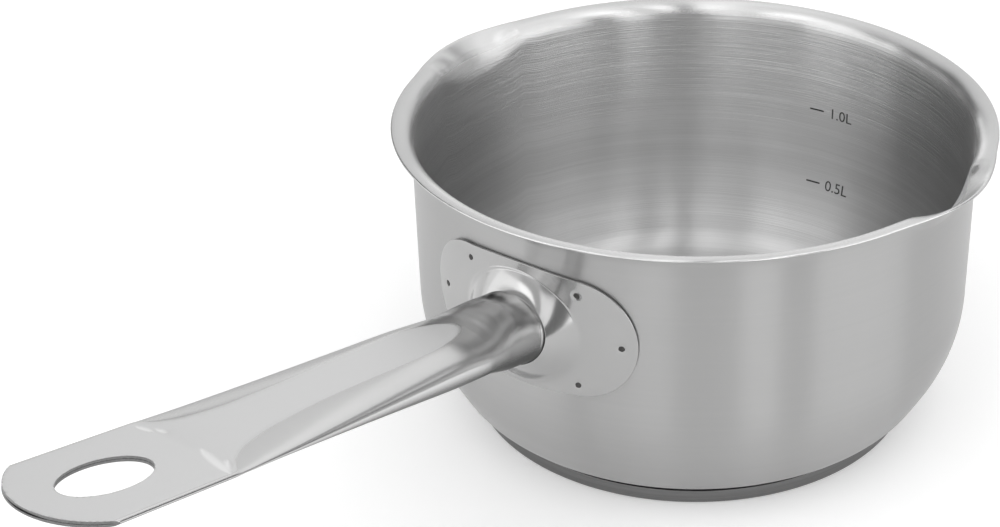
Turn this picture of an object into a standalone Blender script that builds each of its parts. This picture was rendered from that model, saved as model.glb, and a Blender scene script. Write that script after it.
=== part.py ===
"""A small stainless steel saucepan with two pouring spouts, a capsule base and a flattened tube handle.

Metres, +Z up. The origin is the centre of the base's underside. The handle points along -X, and
the spouts are at +Y and -Y. Nothing on the pan moves.
"""

import math

import bmesh
import bpy
import numpy as np

# Joints between pieces
GAP = 0.0003                      # clearance that touching pieces keep

# Base, from the table up
BASE_HEIGHT = 0.0040              # top of the cap's side, just under the groove
BASE_INSET = 0.0010               # how far the cap's side lies inside the bowl's flat underside
BASE_EDGE_RADIUS = 0.0012         # rounding of the cap's lower edge
CAP_SHEET = 0.0006

# Bowl, measured on its outer side
BOWL_SHEET = 0.0008
BOWL_RADIUS = 0.0808
FOOT_CORNER_RADIUS = 0.0030       # bend from the flat underside into the sloping wall
FLANK_ANGLE = math.radians(28.4)  # lean of the lower wall away from upright
SHOULDER_RADIUS = 0.0450          # bend from the sloping wall into the upright one
SHOULDER_HEIGHT = 0.0375          # where the wall becomes upright

# Pouring rim
RIM_HEIGHT = 0.0892
RIM_FLARE = 0.00555               # how far the lip stands out from the wall
RIM_RISE = 0.0050                 # height of the bend that turns the wall outwards
RIM_LIP = 0.0005                  # flat stretch at the rim's edge

# Spouts
SPOUT_ANGLE = math.radians(90.0)  # each side of the handle
SPOUT_DEPTH = 0.0044              # how far the scoop's crease drops below the rim's bend
SPOUT_REACH = 0.0031              # how far the lip bulges out
SPOUT_HALF_ANGLE = math.radians(13.3)
LIP_HALF_ANGLE = math.radians(20.0)
SPOUT_CONTROL_OUT = 0.0010        # pull of the scoop's curve away from the wall
SPOUT_CONTROL_DROP = 0.0062       # pull of the scoop's curve below the rim

# Handle tube, in sections square to its axis
HANDLE_DROP = 0.0301              # from the rim down to where the axis leaves the wall
HANDLE_TILT = math.atan(0.2334)
HANDLE_LENGTH = 0.1592            # from the wall to the tip, along the axis
TUBE_WALL = 0.0006                # also each layer of the flat blade
TUBE_HALF_WIDTH = 0.0114          # the oval tube where it enters the neck
TUBE_HALF_HEIGHT = 0.0094
TUBE_ROUNDED_FLAT = 0.0010        # flat left on top of the oval, half its width
TUBE_END_CLEARANCE = 0.0008       # least distance of the tube's inner end from the wall
BLADE_HALF_WIDTH = 0.0163
LAYER_GAP = 0.0001                # slit left between the two pressed layers
TIP_BULGE = 0.0106                # how far the rounded tip stands beyond its two corners

# Hanging hole
HOLE_HALF_LENGTH = 0.0116
HOLE_HALF_WIDTH = 0.00685
HOLE_FROM_TIP = 0.0206            # centre of the hole, back from the tip

# Sections along the handle: place as a share of its length, then how far the half height has
# gone from tube to blade, the half width from tube to blade, and the flat as a share of the width
PRESS_SHARES = (
    (0.085, 0.023, 0.12, 0.083),
    (0.115, 0.11, 0.165, 0.10),
    (0.140, 0.24, 0.295, 0.18),
    (0.160, 0.33, 0.39, 0.32),
    (0.190, 0.37, 0.45, 0.45),
    (0.240, 0.40, 0.49, 0.50),
    (0.360, 0.50, 0.605, 0.50),
    (0.490, 0.63, 0.735, 0.50),
    (0.610, 0.785, 0.86, 0.54),
    (0.680, 0.88, 0.93, 0.64),
    (0.715, 0.94, 0.975, 0.80),
    (0.740, 1.00, 1.00, 0.955),
)

# Mounting plate
PLATE_SHEET = 0.0007
PLATE_HALF_LENGTH = 0.0343        # along the wall
PLATE_HALF_HEIGHT = 0.0185        # in the middle, where its long edges are crowned
PLATE_END_RADIUS = 0.0175
PLATE_RISE = 0.0005               # its centre stands above the handle's axis
BOSS_HALF_WIDTH = 0.0182          # oval where the drawn neck leaves the plate
BOSS_HALF_HEIGHT = 0.0162
NECK_LENGTH = 0.0046              # from the wall to the neck's mouth
MOUTH_CLEARANCE = 0.0004          # between the neck's mouth and the tube

# Weld spots
WELD_RADIUS = 0.0009
WELD_RECESS = 0.0002              # how deep the spots lie below the plate's face
WELD_INNER_REACH = 0.0176         # distances along the wall from the plate's centre
WELD_OUTER_REACH = 0.0297
WELD_INNER_RISE = 0.0136          # distance of the upper and lower spots from its middle line

# Mesh fineness
COARSE_STEP = math.radians(7.5)
FINE_STEP = math.radians(3.0)
TURN_STEPS = 72
ARC_STEPS = 5
RIM_STEPS = 7
HALF_SECTION_STEPS = 10
PLATE_STEPS = 48
NECK_STEPS = 7
PIN_SIDES = 20
PLATE_RING_SHARES = (1.0, 0.66, 0.33, 0.12)   # rings of the flat plate, from its edge to the boss
INNER_FLAT_SHARE = 0.98           # most of the inner half width that its flat may take
SHARP_ANGLE = math.radians(35.0)
MERGE_DISTANCE = 0.00001
CUT_OVERRUN = 0.0040              # how far a cutter passes the piece it cuts

UNDERSIDE = BASE_HEIGHT + GAP     # height of the bowl's flat underside
RIM_RADIUS = BOWL_RADIUS + RIM_FLARE
HANDLE_HEIGHT = RIM_HEIGHT - HANDLE_DROP
FLANK_TOP_RADIUS = BOWL_RADIUS - SHOULDER_RADIUS * (1.0 - math.cos(FLANK_ANGLE))
FLANK_TOP = SHOULDER_HEIGHT - SHOULDER_RADIUS * math.sin(FLANK_ANGLE)
FOOT_RADIUS = FLANK_TOP_RADIUS - (FLANK_TOP - UNDERSIDE) * math.tan(FLANK_ANGLE)
UNDERSIDE_RADIUS = FOOT_RADIUS - FOOT_CORNER_RADIUS * math.tan((math.pi / 2 - FLANK_ANGLE) / 2)
BASE_RADIUS = UNDERSIDE_RADIUS - BASE_INSET
PLATE_RADIUS = BOWL_RADIUS + GAP + PLATE_SHEET
BLADE_HALF_HEIGHT = TUBE_WALL + LAYER_GAP / 2
AXIS = np.array([-math.cos(HANDLE_TILT), 0.0, math.sin(HANDLE_TILT)])
ACROSS = np.array([0.0, 1.0, 0.0])
UPWARD = np.array([math.sin(HANDLE_TILT), 0.0, math.cos(HANDLE_TILT)])
AXIS_START = np.array([-BOWL_RADIUS, 0.0, HANDLE_HEIGHT])


def clear_scene():
    for item in list(bpy.data.objects):
        bpy.data.objects.remove(item)


def new_collection(name):
    made = bpy.data.collections.new(name)
    bpy.context.scene.collection.children.link(made)
    return made


def metal(name, colour, roughness):
    made = bpy.data.materials.new(name)
    made.use_nodes = True
    shader = made.node_tree.nodes["Principled BSDF"]
    shader.inputs["Base Color"].default_value = (*colour, 1.0)
    shader.inputs["Metallic"].default_value = 1.0
    shader.inputs["Roughness"].default_value = roughness
    return made


def mesh_object(name, points, faces, collection, finish=None):
    """An object from points and faces, with its faces turned outwards."""
    mesh = bpy.data.meshes.new(name)
    mesh.from_pydata([tuple(point) for point in points], [], faces)
    work = bmesh.new()
    work.from_mesh(mesh)
    bmesh.ops.recalc_face_normals(work, faces=work.faces)
    work.to_mesh(mesh)
    work.free()
    mesh.shade_smooth()
    mesh.set_sharp_from_angle(angle=SHARP_ANGLE)
    if finish is not None:
        mesh.materials.append(finish)
    made = bpy.data.objects.new(name, mesh)
    collection.objects.link(made)
    return made


def ring_faces(ring_count, ring_size, first=0):
    """Quads between neighbouring closed rings of points."""
    faces = []
    for ring in range(ring_count - 1):
        for step in range(ring_size):
            here = first + ring * ring_size
            onward = (step + 1) % ring_size
            above = here + ring_size
            faces.append((here + step, here + onward, above + onward, above + step))
    return faces


def turned_piece(name, profile, finish, collection):
    """A solid turned around Z from a profile of (radius, height) pairs."""
    mesh = bpy.data.meshes.new(name)
    points = [(radius, 0.0, height) for radius, height in profile]
    mesh.from_pydata(points, [(i, i + 1) for i in range(len(points) - 1)], [])
    mesh.materials.append(finish)
    made = bpy.data.objects.new(name, mesh)
    collection.objects.link(made)
    screw = made.modifiers.new("Turn", "SCREW")
    screw.steps = TURN_STEPS
    screw.render_steps = TURN_STEPS
    screw.use_merge_vertices = True
    screw.merge_threshold = MERGE_DISTANCE
    screw.use_smooth_shade = True
    return made


def arc(centre, radius, start, end, steps):
    """Points (radius, height) on an arc; angles run from the outward direction towards +Z."""
    angles = np.linspace(start, end, steps + 1)
    return [(centre[0] + radius * math.cos(a), centre[1] + radius * math.sin(a)) for a in angles]


def base_core(finish, collection):
    """The aluminium disc, held between the cap's floor and the bowl."""
    radius = BASE_RADIUS - CAP_SHEET - GAP
    low = CAP_SHEET + GAP
    profile = [(0.0, BASE_HEIGHT), (radius, BASE_HEIGHT), (radius, low), (0.0, low)]
    return turned_piece("base_core", profile, finish, collection)


def base_cap(finish, collection):
    """The steel cap: a flat floor, a rounded edge and a short upright side."""
    inner = BASE_RADIUS - CAP_SHEET
    corner = (BASE_RADIUS - BASE_EDGE_RADIUS, BASE_EDGE_RADIUS)
    edge = arc(corner, BASE_EDGE_RADIUS, 0.0, -math.pi / 2, ARC_STEPS)
    profile = [(0.0, CAP_SHEET), (inner, CAP_SHEET), (inner, BASE_HEIGHT)]
    profile += [(BASE_RADIUS, BASE_HEIGHT)] + edge + [(0.0, 0.0)]
    return turned_piece("base_cap", profile, finish, collection)


def spout_share(angle, half_angle):
    """How far an angle is into a spout: 1 at its middle, 0 from half_angle on."""
    from_spout = abs(abs(angle) - SPOUT_ANGLE)
    return max(0.0, 1.0 - (from_spout / half_angle) ** 2)


def bowl_foot():
    """The lower outer wall: corner, sloping flank and shoulder, as (radius, height) pairs."""
    shoulder_centre = (BOWL_RADIUS - SHOULDER_RADIUS, SHOULDER_HEIGHT)
    shoulder = arc(shoulder_centre, SHOULDER_RADIUS, -FLANK_ANGLE, 0.0, ARC_STEPS)
    corner_centre = (UNDERSIDE_RADIUS, UNDERSIDE + FOOT_CORNER_RADIUS)
    turn = (-math.pi / 2, -FLANK_ANGLE)
    corner = arc(corner_centre, FOOT_CORNER_RADIUS, *turn, ARC_STEPS - 1)
    return corner + shoulder


def bowl_rim(angle):
    """The outer side of the rim at one angle: a curve from the wall to the lip's edge.

    Away from the spouts the curve turns from upright to level. In a spout its start drops and
    its lip moves out, and its control point is pulled down, so it becomes a sloping scoop.
    """
    scoop = spout_share(angle, SPOUT_HALF_ANGLE)
    bulge = spout_share(angle, LIP_HALF_ANGLE) ** 2
    top = RIM_HEIGHT - BOWL_SHEET
    edge = RIM_RADIUS + SPOUT_REACH * bulge
    start = np.array([BOWL_RADIUS, top - RIM_RISE - SPOUT_DEPTH * scoop])
    control = np.array([BOWL_RADIUS + SPOUT_CONTROL_OUT * scoop, top - SPOUT_CONTROL_DROP * scoop])
    end = np.array([edge - RIM_LIP, top])
    points = []
    for t in np.linspace(0.0, 1.0, RIM_STEPS + 1):
        points.append(start * (1 - t) ** 2 + control * 2 * t * (1 - t) + end * t ** 2)
    return points + [(edge, top)]


def bowl_angles():
    """Angles around the bowl, closer together across the spouts."""
    fine_half = LIP_HALF_ANGLE + FINE_STEP / 2
    fine_steps = 2 * math.ceil(fine_half / FINE_STEP)
    coarse_half = SPOUT_ANGLE - fine_half
    coarse_steps = 2 * math.ceil(coarse_half / COARSE_STEP)
    quarter_turns = []
    for centre in (SPOUT_ANGLE, -SPOUT_ANGLE):
        quarter_turns.append(np.linspace(centre - fine_half, centre + fine_half, fine_steps + 1))
    front = np.linspace(-coarse_half, coarse_half, coarse_steps + 1)[1:-1]
    back = math.pi + front
    back = np.where(back > math.pi, back - 2 * math.pi, back)
    return np.sort(np.concatenate([*quarter_turns, front, back]))


def pan_body(finish, collection):
    """The drawn bowl: its outer surface, lofted around the angles, then given its sheet."""
    angles = bowl_angles()
    profiles = [bowl_foot() + list(bowl_rim(angle)) for angle in angles]
    ring_count = len(profiles[0])
    points = [(0.0, 0.0, UNDERSIDE)]
    for ring in range(ring_count):
        for angle, profile in zip(angles, profiles):
            radius, height = profile[ring]
            points.append((radius * math.cos(angle), radius * math.sin(angle), height))
    size = len(angles)
    faces = [(0, 1 + (step + 1) % size, 1 + step) for step in range(size)]
    faces += ring_faces(ring_count, size, first=1)
    body = mesh_object("pan_body", points, faces, collection, finish)
    if body.data.polygons[0].normal.z > 0:
        body.data.flip_normals()
    sheet = body.modifiers.new("Sheet", "SOLIDIFY")
    sheet.thickness = BOWL_SHEET
    sheet.offset = -1.0
    sheet.use_even_offset = True
    return body


def section(half_width, half_height, flat):
    """Points (across, up) round a flattened oval: two half ellipses joined by two flats."""
    swing = np.linspace(-math.pi / 2, math.pi / 2, HALF_SECTION_STEPS + 1)
    across = flat + (half_width - flat) * np.cos(swing)
    up = half_height * np.sin(swing)
    return np.concatenate([np.stack([across, up], 1), np.stack([-across[::-1], up[::-1]], 1)])


def on_axis(distance, across_up):
    """World points of a section square to the handle's axis, at a distance from the wall."""
    centre = AXIS_START + AXIS * distance
    return centre + across_up[:, :1] * ACROSS + across_up[:, 1:] * UPWARD


def clear_of_wall(half_height, clearance):
    """Distance along the tilted axis at which a section's top edge clears the wall."""
    return (clearance + half_height * math.sin(HANDLE_TILT)) / math.cos(HANDLE_TILT)


def handle_sections():
    """Places along the axis, each with its half width, half height and flat."""
    start = clear_of_wall(TUBE_HALF_HEIGHT, TUBE_END_CLEARANCE)
    made = [(start, TUBE_HALF_WIDTH, TUBE_HALF_HEIGHT, TUBE_ROUNDED_FLAT)]
    for place_share, height_share, width_share, flat_share in PRESS_SHARES:
        half_width = TUBE_HALF_WIDTH + (BLADE_HALF_WIDTH - TUBE_HALF_WIDTH) * width_share
        half_height = TUBE_HALF_HEIGHT + (BLADE_HALF_HEIGHT - TUBE_HALF_HEIGHT) * height_share
        made.append((HANDLE_LENGTH * place_share, half_width, half_height, half_width * flat_share))
    made.append((HANDLE_LENGTH + CUT_OVERRUN, *made[-1][1:]))
    return made


def handle_tube(finish, collection):
    """The tube as an outer and an inner loft, joined at both of its open ends."""
    outer = []
    inner = []
    for place, half_width, half_height, flat in handle_sections():
        inside_width = half_width - TUBE_WALL
        outer.append(on_axis(place, section(half_width, half_height, flat)))
        inside_flat = min(flat, inside_width * INNER_FLAT_SHARE)
        inner.append(on_axis(place, section(inside_width, half_height - TUBE_WALL, inside_flat)))
    rings = outer + inner[::-1]
    size = len(outer[0])
    faces = ring_faces(len(rings), size)
    last = (len(rings) - 1) * size
    faces += [(last + i, last + (i + 1) % size, (i + 1) % size, i) for i in range(size)]
    return mesh_object("handle", np.concatenate(rings), faces, collection, finish)


def prism(name, outline, collection):
    """A cutter that stands square through the blade: outline points are (along, across)."""
    points = []
    for side in (-CUT_OVERRUN, CUT_OVERRUN):
        for along, across in outline:
            points.append(AXIS_START + AXIS * along + ACROSS * across + UPWARD * side)
    size = len(outline)
    faces = ring_faces(2, size) + [tuple(range(size))[::-1], tuple(range(size, 2 * size))]
    made = mesh_object(name, points, faces, collection)
    made.display_type = "WIRE"
    made.hide_render = True
    return made


def cut(target, cutter):
    boolean = target.modifiers.new(cutter.name, "BOOLEAN")
    boolean.operation = "DIFFERENCE"
    boolean.solver = "EXACT"
    boolean.object = cutter


def handle(finish, collection, cutters):
    """The tube with its tip cut to an arc and its hanging hole punched through both layers."""
    tube = handle_tube(finish, collection)
    tip_radius = (BLADE_HALF_WIDTH ** 2 + TIP_BULGE ** 2) / (2 * TIP_BULGE)
    centre = HANDLE_LENGTH - tip_radius
    reach = math.atan2(BLADE_HALF_WIDTH, tip_radius - TIP_BULGE)
    swing = np.linspace(-reach, reach, 4 * ARC_STEPS + 1)
    outline = [(centre + tip_radius * math.cos(a), tip_radius * math.sin(a)) for a in swing]
    corner = HANDLE_LENGTH - TIP_BULGE - GAP
    wide = BLADE_HALF_WIDTH + CUT_OVERRUN
    beyond = HANDLE_LENGTH + 2 * CUT_OVERRUN
    outline += [(corner, wide), (beyond, wide), (beyond, -wide), (corner, -wide)]
    cut(tube, prism("tip_cutter", outline, cutters))
    swing = np.linspace(0.0, 2 * math.pi, 8 * ARC_STEPS, endpoint=False)
    centre = HANDLE_LENGTH - HOLE_FROM_TIP
    hole = [(centre + HOLE_HALF_LENGTH * math.cos(a), HOLE_HALF_WIDTH * math.sin(a)) for a in swing]
    cut(tube, prism("hole_cutter", hole, cutters))
    return tube


def on_wall(radius, along, up):
    """World points on a cylinder around the bowl: along the wall and up from the handle's axis."""
    angle = along / radius
    height = HANDLE_HEIGHT + up
    return np.stack([-radius * np.cos(angle), radius * np.sin(angle), height], axis=-1)


def plate_edge(swing):
    """The plate's outline at angles around its centre: a slot with round ends and crowned edges."""
    straight = PLATE_HALF_LENGTH - PLATE_END_RADIUS
    crown = PLATE_HALF_HEIGHT - PLATE_END_RADIUS
    quarter_arc = math.pi / 2 * PLATE_END_RADIUS
    into_quarter_share = np.arcsin(np.abs(np.sin(swing))) / (math.pi / 2)
    travelled = into_quarter_share * (quarter_arc + straight)
    turn = np.minimum(travelled, quarter_arc) / PLATE_END_RADIUS
    left = straight - np.maximum(travelled - quarter_arc, 0.0)
    along = left + PLATE_END_RADIUS * np.cos(turn)
    up = PLATE_END_RADIUS * np.sin(turn) + crown * (1.0 - (left / straight) ** 2)
    return along * np.sign(np.cos(swing)), up * np.sign(np.sin(swing)) + PLATE_RISE


def handle_plate(finish, collection, cutters):
    """The plate bent round the wall, with its middle drawn out into a flared oval neck.

    Each ring of the neck lies between the boss's oval on the wall and the mouth's oval, which is
    square to the handle's axis. The flare is steep at first and turns in at the mouth.
    """
    swing = (np.arange(PLATE_STEPS) + 0.5) * 2 * math.pi / PLATE_STEPS
    rounded = TUBE_HALF_WIDTH + MOUTH_CLEARANCE - TUBE_ROUNDED_FLAT
    mouth_across = TUBE_ROUNDED_FLAT * np.sign(np.cos(swing)) + rounded * np.cos(swing)
    mouth_up = (TUBE_HALF_HEIGHT + MOUTH_CLEARANCE) * np.sin(swing)
    mouth = on_axis(NECK_LENGTH, np.stack([mouth_across, mouth_up], axis=1))
    boss_along = BOSS_HALF_WIDTH * np.cos(swing)
    boss_up = BOSS_HALF_HEIGHT * np.sin(swing)
    boss = on_wall(PLATE_RADIUS, boss_along, boss_up)
    edge_along, edge_up = plate_edge(swing)
    rings = []
    for share in PLATE_RING_SHARES:
        along = boss_along + (edge_along - boss_along) * share
        rings.append(on_wall(PLATE_RADIUS, along, boss_up + (edge_up - boss_up) * share))
    rise = AXIS * NECK_LENGTH
    for turn in np.linspace(0.0, math.pi / 2, NECK_STEPS):
        inward_share = 1.0 - math.cos(turn)
        lifted_share = math.sin(turn)
        level = boss + (mouth - boss) * inward_share
        rings.append(level + rise * (lifted_share - inward_share))
    faces = ring_faces(len(rings), PLATE_STEPS)
    plate = mesh_object("handle_plate", np.concatenate(rings), faces, collection, finish)
    first = plate.data.polygons[0]
    if first.normal.dot(first.center) < 0:
        plate.data.flip_normals()
    sheet = plate.modifiers.new("Sheet", "SOLIDIFY")
    sheet.thickness = PLATE_SHEET
    sheet.offset = -1.0
    sheet.use_even_offset = True
    ends = (BOWL_RADIUS, PLATE_RADIUS + CUT_OVERRUN)
    for index, place in enumerate(weld_places()):
        drill = radial_pin(f"weld_cutter_{index + 1}", place, ends, WELD_RADIUS + GAP, cutters)
        drill.display_type = "WIRE"
        drill.hide_render = True
        cut(plate, drill)
    return plate


def weld_places():
    """Places of the six weld spots, as distances along the wall and up from the plate's centre."""
    places = []
    for side in (-1, 1):
        places.append((side * WELD_INNER_REACH, WELD_INNER_RISE))
        places.append((side * WELD_OUTER_REACH, 0.0))
        places.append((side * WELD_INNER_REACH, -WELD_INNER_RISE))
    return places


def radial_pin(name, place, ends, radius, collection, finish=None):
    """A round pin that points out from the bowl's axis, between two distances from that axis."""
    along, up = place
    low, high = ends
    bpy.ops.mesh.primitive_cylinder_add(vertices=PIN_SIDES, radius=radius, depth=high - low)
    made = bpy.context.object
    made.name = name
    middle_radius = (low + high) / 2
    middle = on_wall(middle_radius, along * middle_radius / PLATE_RADIUS, up)
    made.location = middle
    made.rotation_euler = (0.0, math.pi / 2, math.atan2(middle[1], middle[0]))
    for old in list(made.users_collection):
        old.objects.unlink(made)
    collection.objects.link(made)
    if finish is not None:
        made.data.materials.append(finish)
    return made


def spot_welds(finish, collection):
    """The nuggets that hold the plate, each sunk a little below the plate's face."""
    ends = (BOWL_RADIUS + GAP, PLATE_RADIUS - WELD_RECESS)
    for index, place in enumerate(weld_places()):
        radial_pin(f"spot_weld_{index + 1}", place, ends, WELD_RADIUS, collection, finish)


def main():
    clear_scene()
    pieces = new_collection("saucepan")
    cutters = new_collection("cutters")
    polished = metal("polished_steel", (0.62, 0.62, 0.62), 0.18)
    brushed = metal("brushed_steel", (0.50, 0.50, 0.50), 0.35)
    aluminium = metal("aluminium", (0.72, 0.73, 0.74), 0.45)
    pan_body(polished, pieces)
    base_core(aluminium, pieces)
    base_cap(brushed, pieces)
    handle_plate(polished, pieces, cutters)
    handle(polished, pieces, cutters)
    spot_welds(brushed, pieces)


main()
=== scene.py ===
import math
import bpy
import numpy as np
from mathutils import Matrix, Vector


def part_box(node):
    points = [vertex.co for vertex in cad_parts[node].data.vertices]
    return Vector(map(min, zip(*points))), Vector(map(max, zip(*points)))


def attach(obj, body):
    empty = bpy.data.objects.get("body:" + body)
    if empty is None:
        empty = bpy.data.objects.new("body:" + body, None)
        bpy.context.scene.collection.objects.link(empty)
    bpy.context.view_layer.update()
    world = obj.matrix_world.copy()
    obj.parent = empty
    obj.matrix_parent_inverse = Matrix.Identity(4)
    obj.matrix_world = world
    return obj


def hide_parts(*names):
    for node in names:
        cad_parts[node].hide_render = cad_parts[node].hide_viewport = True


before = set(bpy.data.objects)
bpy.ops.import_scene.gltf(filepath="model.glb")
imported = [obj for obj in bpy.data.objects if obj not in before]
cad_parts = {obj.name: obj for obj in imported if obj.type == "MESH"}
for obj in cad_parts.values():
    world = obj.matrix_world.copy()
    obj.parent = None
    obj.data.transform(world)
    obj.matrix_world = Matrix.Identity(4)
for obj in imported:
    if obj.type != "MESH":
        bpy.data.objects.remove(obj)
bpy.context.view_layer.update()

# Sizes in metres, +Z up, the handle along -X and the spouts at +Y and -Y
MM = 0.001
GAP = 0.3 * MM

# Base
BASE_HEIGHT = 4.35 * MM
BASE_GROOVE = 0.65 * MM
BASE_EDGE = 1.2 * MM
BASE_SHEET = 0.6 * MM
BASE_TOP_EDGE = 0.25 * MM
BASE_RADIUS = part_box("base_cap")[1][0]
BASE_COLUMNS = 240
BASE_FLOOR_ROWS = 12
BASE_CORNER_ROWS = 12
BASE_TOP_ROWS = 5
BASE_INSIDE_ROWS = 6

# Bowl, outer side
BOWL_SHEET = 0.8 * MM
BOWL_RADIUS = 80.8 * MM
BOWL_COLUMNS = 320
FOOT_CORNER = 12.0 * MM
FLANK_ANGLE = math.radians(28.4)
SHOULDER_RADIUS = 45.0 * MM
SHOULDER_HEIGHT = 37.5 * MM
UNDERSIDE = BASE_HEIGHT + BASE_GROOVE
FLANK_TOP_RADIUS = BOWL_RADIUS - SHOULDER_RADIUS * (1.0 - math.cos(FLANK_ANGLE))
FLANK_TOP = SHOULDER_HEIGHT - SHOULDER_RADIUS * math.sin(FLANK_ANGLE)
FOOT_RADIUS = FLANK_TOP_RADIUS - (FLANK_TOP - UNDERSIDE) * math.tan(FLANK_ANGLE)
UNDERSIDE_RADIUS = FOOT_RADIUS - FOOT_CORNER * math.tan((math.pi / 2 - FLANK_ANGLE) / 2)
UNDERSIDE_SHARES = (0.0, 0.35, 0.7, 0.97)
FOOT_ROWS = 16
FLANK_ROWS = 8
SHOULDER_ROWS = 26
WALL_ROWS = 26

# Rim and spouts
RIM_HEIGHT = 89.2 * MM
RIM_FLARE = 5.55 * MM
RIM_RISE = 5.0 * MM
SPOUT_ANGLE = math.radians(90.0)
SPOUT_DEPTH = 4.4 * MM
SPOUT_REACH = 3.1 * MM
SPOUT_HALF_ANGLE = math.radians(13.3)
LIP_HALF_ANGLE = math.radians(20.0)
SPOUT_SOFT = 0.12
SPOUT_CONTROL_OUT = 1.0 * MM
SPOUT_CONTROL_DROP = 6.2 * MM
RIM_ROWS = 26
LIP_ROWS = 9

# Handle
HANDLE_DROP = 30.1 * MM
HANDLE_HEIGHT = RIM_HEIGHT - HANDLE_DROP
HANDLE_SLOPE = 0.2334
HANDLE_TILT = math.atan(HANDLE_SLOPE)
HANDLE_LENGTH = 159.2 * MM
TUBE_START = 3.1 * MM
TUBE_WALL = 0.6 * MM
LAYER_GAP = 0.1 * MM
TUBE_HALF_WIDTH = 11.4 * MM
TUBE_HALF_HEIGHT = 9.4 * MM
BLADE_HALF_WIDTH = 16.3 * MM
BLADE_SPARE = 3.0 * MM
RING_END = 6.8 * MM
RING_STEP = 0.14 * MM
RING_SOFT = 0.6 * MM
FLAT_START = 27.5 * MM
FLAT_GROWN = 48.0 * MM
FLAT_GROWN_HALF_WIDTH = 6.8 * MM
FLAT_LEAST = 1.5 * MM
FLAT_SOFT = 0.15 * MM
FLAT_FADE = 0.12 * MM
FLAT_POINTS = 42
ROUND_POINTS = 37
INSIDE_FLAT_SHARE = 0.98
INSIDE_EVERY = 6
# Painted shade on the tube's underside: its share at the axis, and how fast that falls with the height
# above it
PAINTED_UNDERSIDE_SHARE = 0.35
PAINTED_UNDERSIDE_FALL = 1.8
# Rows along the handle: where each stretch of them ends, and how many it has
HANDLE_ROWS = ((34.0 * MM, 120), (108.0 * MM, 90), (121.0 * MM, 46), (HANDLE_LENGTH + BLADE_SPARE, 40))

# The tip's cut and the hanging hole
TIP_BULGE = 10.6 * MM
TIP_POINTS = 97
HOLE_HALF_LENGTH = 11.6 * MM
HOLE_HALF_WIDTH = 6.85 * MM
HOLE_FROM_TIP = 20.6 * MM
HOLE_POINTS = 128
CUT_EDGE = 0.12 * MM
CUT_EDGE_ANGLE = math.radians(60.0)
CUT_FACE_SLOPE = 0.6
CUTTER_HALF_HEIGHT = 4.0 * MM
CUTTER_BESIDE = 5.0 * MM
CUTTER_BEYOND = 8.0 * MM

# Sections of the handle: distance from the wall, half height, half width, half width of the flat
SECTIONS = np.array([
    (3.1, 9.4, 11.4, 0.0),
    (8.0, 9.35, 11.6, 0.0),
    (13.5, 9.15, 11.9, 0.0),
    (18.3, 8.35, 12.3, 0.0),
    (22.3, 7.3, 12.85, 0.0),
    (25.5, 6.6, 13.2, 0.0),
    (30.2, 6.16, 13.6, 0.0),
    (38.2, 5.9, 13.8, 6.8),
    (57.3, 5.0, 14.35, 6.8),
    (78.0, 3.9, 15.0, 6.6),
    (97.1, 2.55, 15.6, 7.4),
    (108.3, 1.7, 15.95, 9.4),
    (113.8, 1.15, 16.2, 12.0),
    (117.8, 0.65, 16.3, 15.6),
    (163.2, 0.65, 16.3, 15.6),
]) * MM
# Leaves, in millimetres: distance and place across of a line's two ends, half width
LEAVES = (
    ((115.9, -3.6), (118.9, -15.3), 1.6),
    ((115.5, -10.8), (117.9, -14.2), 0.9),
    ((118.6, 13.5), (117.5, 9.6), 1.0),
    ((116.4, 9.7), (115.8, 6.8), 0.8),
)
LEAF_DEPTH = 0.12 * MM
LEAF_END_SHARE = 0.2
LEAF_STEEPNESS = 1.5

# Plate and neck
PLATE_SHEET = 0.7 * MM
PLATE_HALF_LENGTH = 34.3 * MM
PLATE_HALF_HEIGHT = 18.5 * MM
PLATE_END_RADIUS = 17.5 * MM
PLATE_RISE = 0.5 * MM
PLATE_INSET = 0.25 * MM
PLATE_EDGE_BULGE = 0.15 * MM
PLATE_RADIUS = BOWL_RADIUS + GAP + PLATE_SHEET
PLATE_COLUMNS = 420
PLATE_ROWS = 64
PLATE_BACK_EVERY = 3
EDGE_ROWS = 7
BOSS_HALF_WIDTH = 18.2 * MM
BOSS_HALF_HEIGHT = 16.2 * MM
NECK_LENGTH = 5.8 * MM
# Shares of the neck's length: its bulge, its corner's softness, and how that varies around it
NECK_BULGE = 0.19
NECK_SOFT = 0.24
NECK_SOFTER = 0.20
# Rows of the neck, and the power of a cosine that spaces them
NECK_ROWS = 56
NECK_PACE = 1.3
CREASE_ANGLE = math.radians(135.0)
MOUTH_CLEARANCE = 0.22 * MM
MOUTH_SHIFT = 0.18 * MM
SLIT_WIDTH = 0.25 * MM
SLIT_ANGLE = math.radians(172.0)
SLIT_SPREAD = math.radians(20.0)

# Weld spots
WELD_RADIUS = 0.85 * MM
WELD_INNER_REACH = 17.6 * MM
WELD_OUTER_REACH = 29.7 * MM
WELD_INNER_RISE = 13.6 * MM
WELD_SUNK = 0.03 * MM
WELD_DEPTH = 0.6 * MM
WELD_COLUMNS = 28
WELD_ROWS = 9
DIMPLE_DEPTH = 0.26 * MM
DIMPLE_RADIUS = 1.15 * MM
DIMPLE_RING = 0.35

# Litre marks on the inner wall
MARKS = (("1.0L", 57.2 * MM), ("0.5L", 31.0 * MM))
INNER_RADIUS = BOWL_RADIUS - BOWL_SHEET
MARK_THICKNESS = 0.03 * MM
DASH_START = math.radians(4.9)
DASH_END = math.radians(1.3)
DASH_HALF_HEIGHT = 0.27 * MM
DASH_POWER = 0.2
DASH_POINTS = 40
TEXT_START = math.radians(-0.1)
TEXT_DROP = 0.3 * MM
TEXT_HEIGHT = 3.5 * MM
TEXT_HEIGHT_SHARE = 0.69

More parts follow.
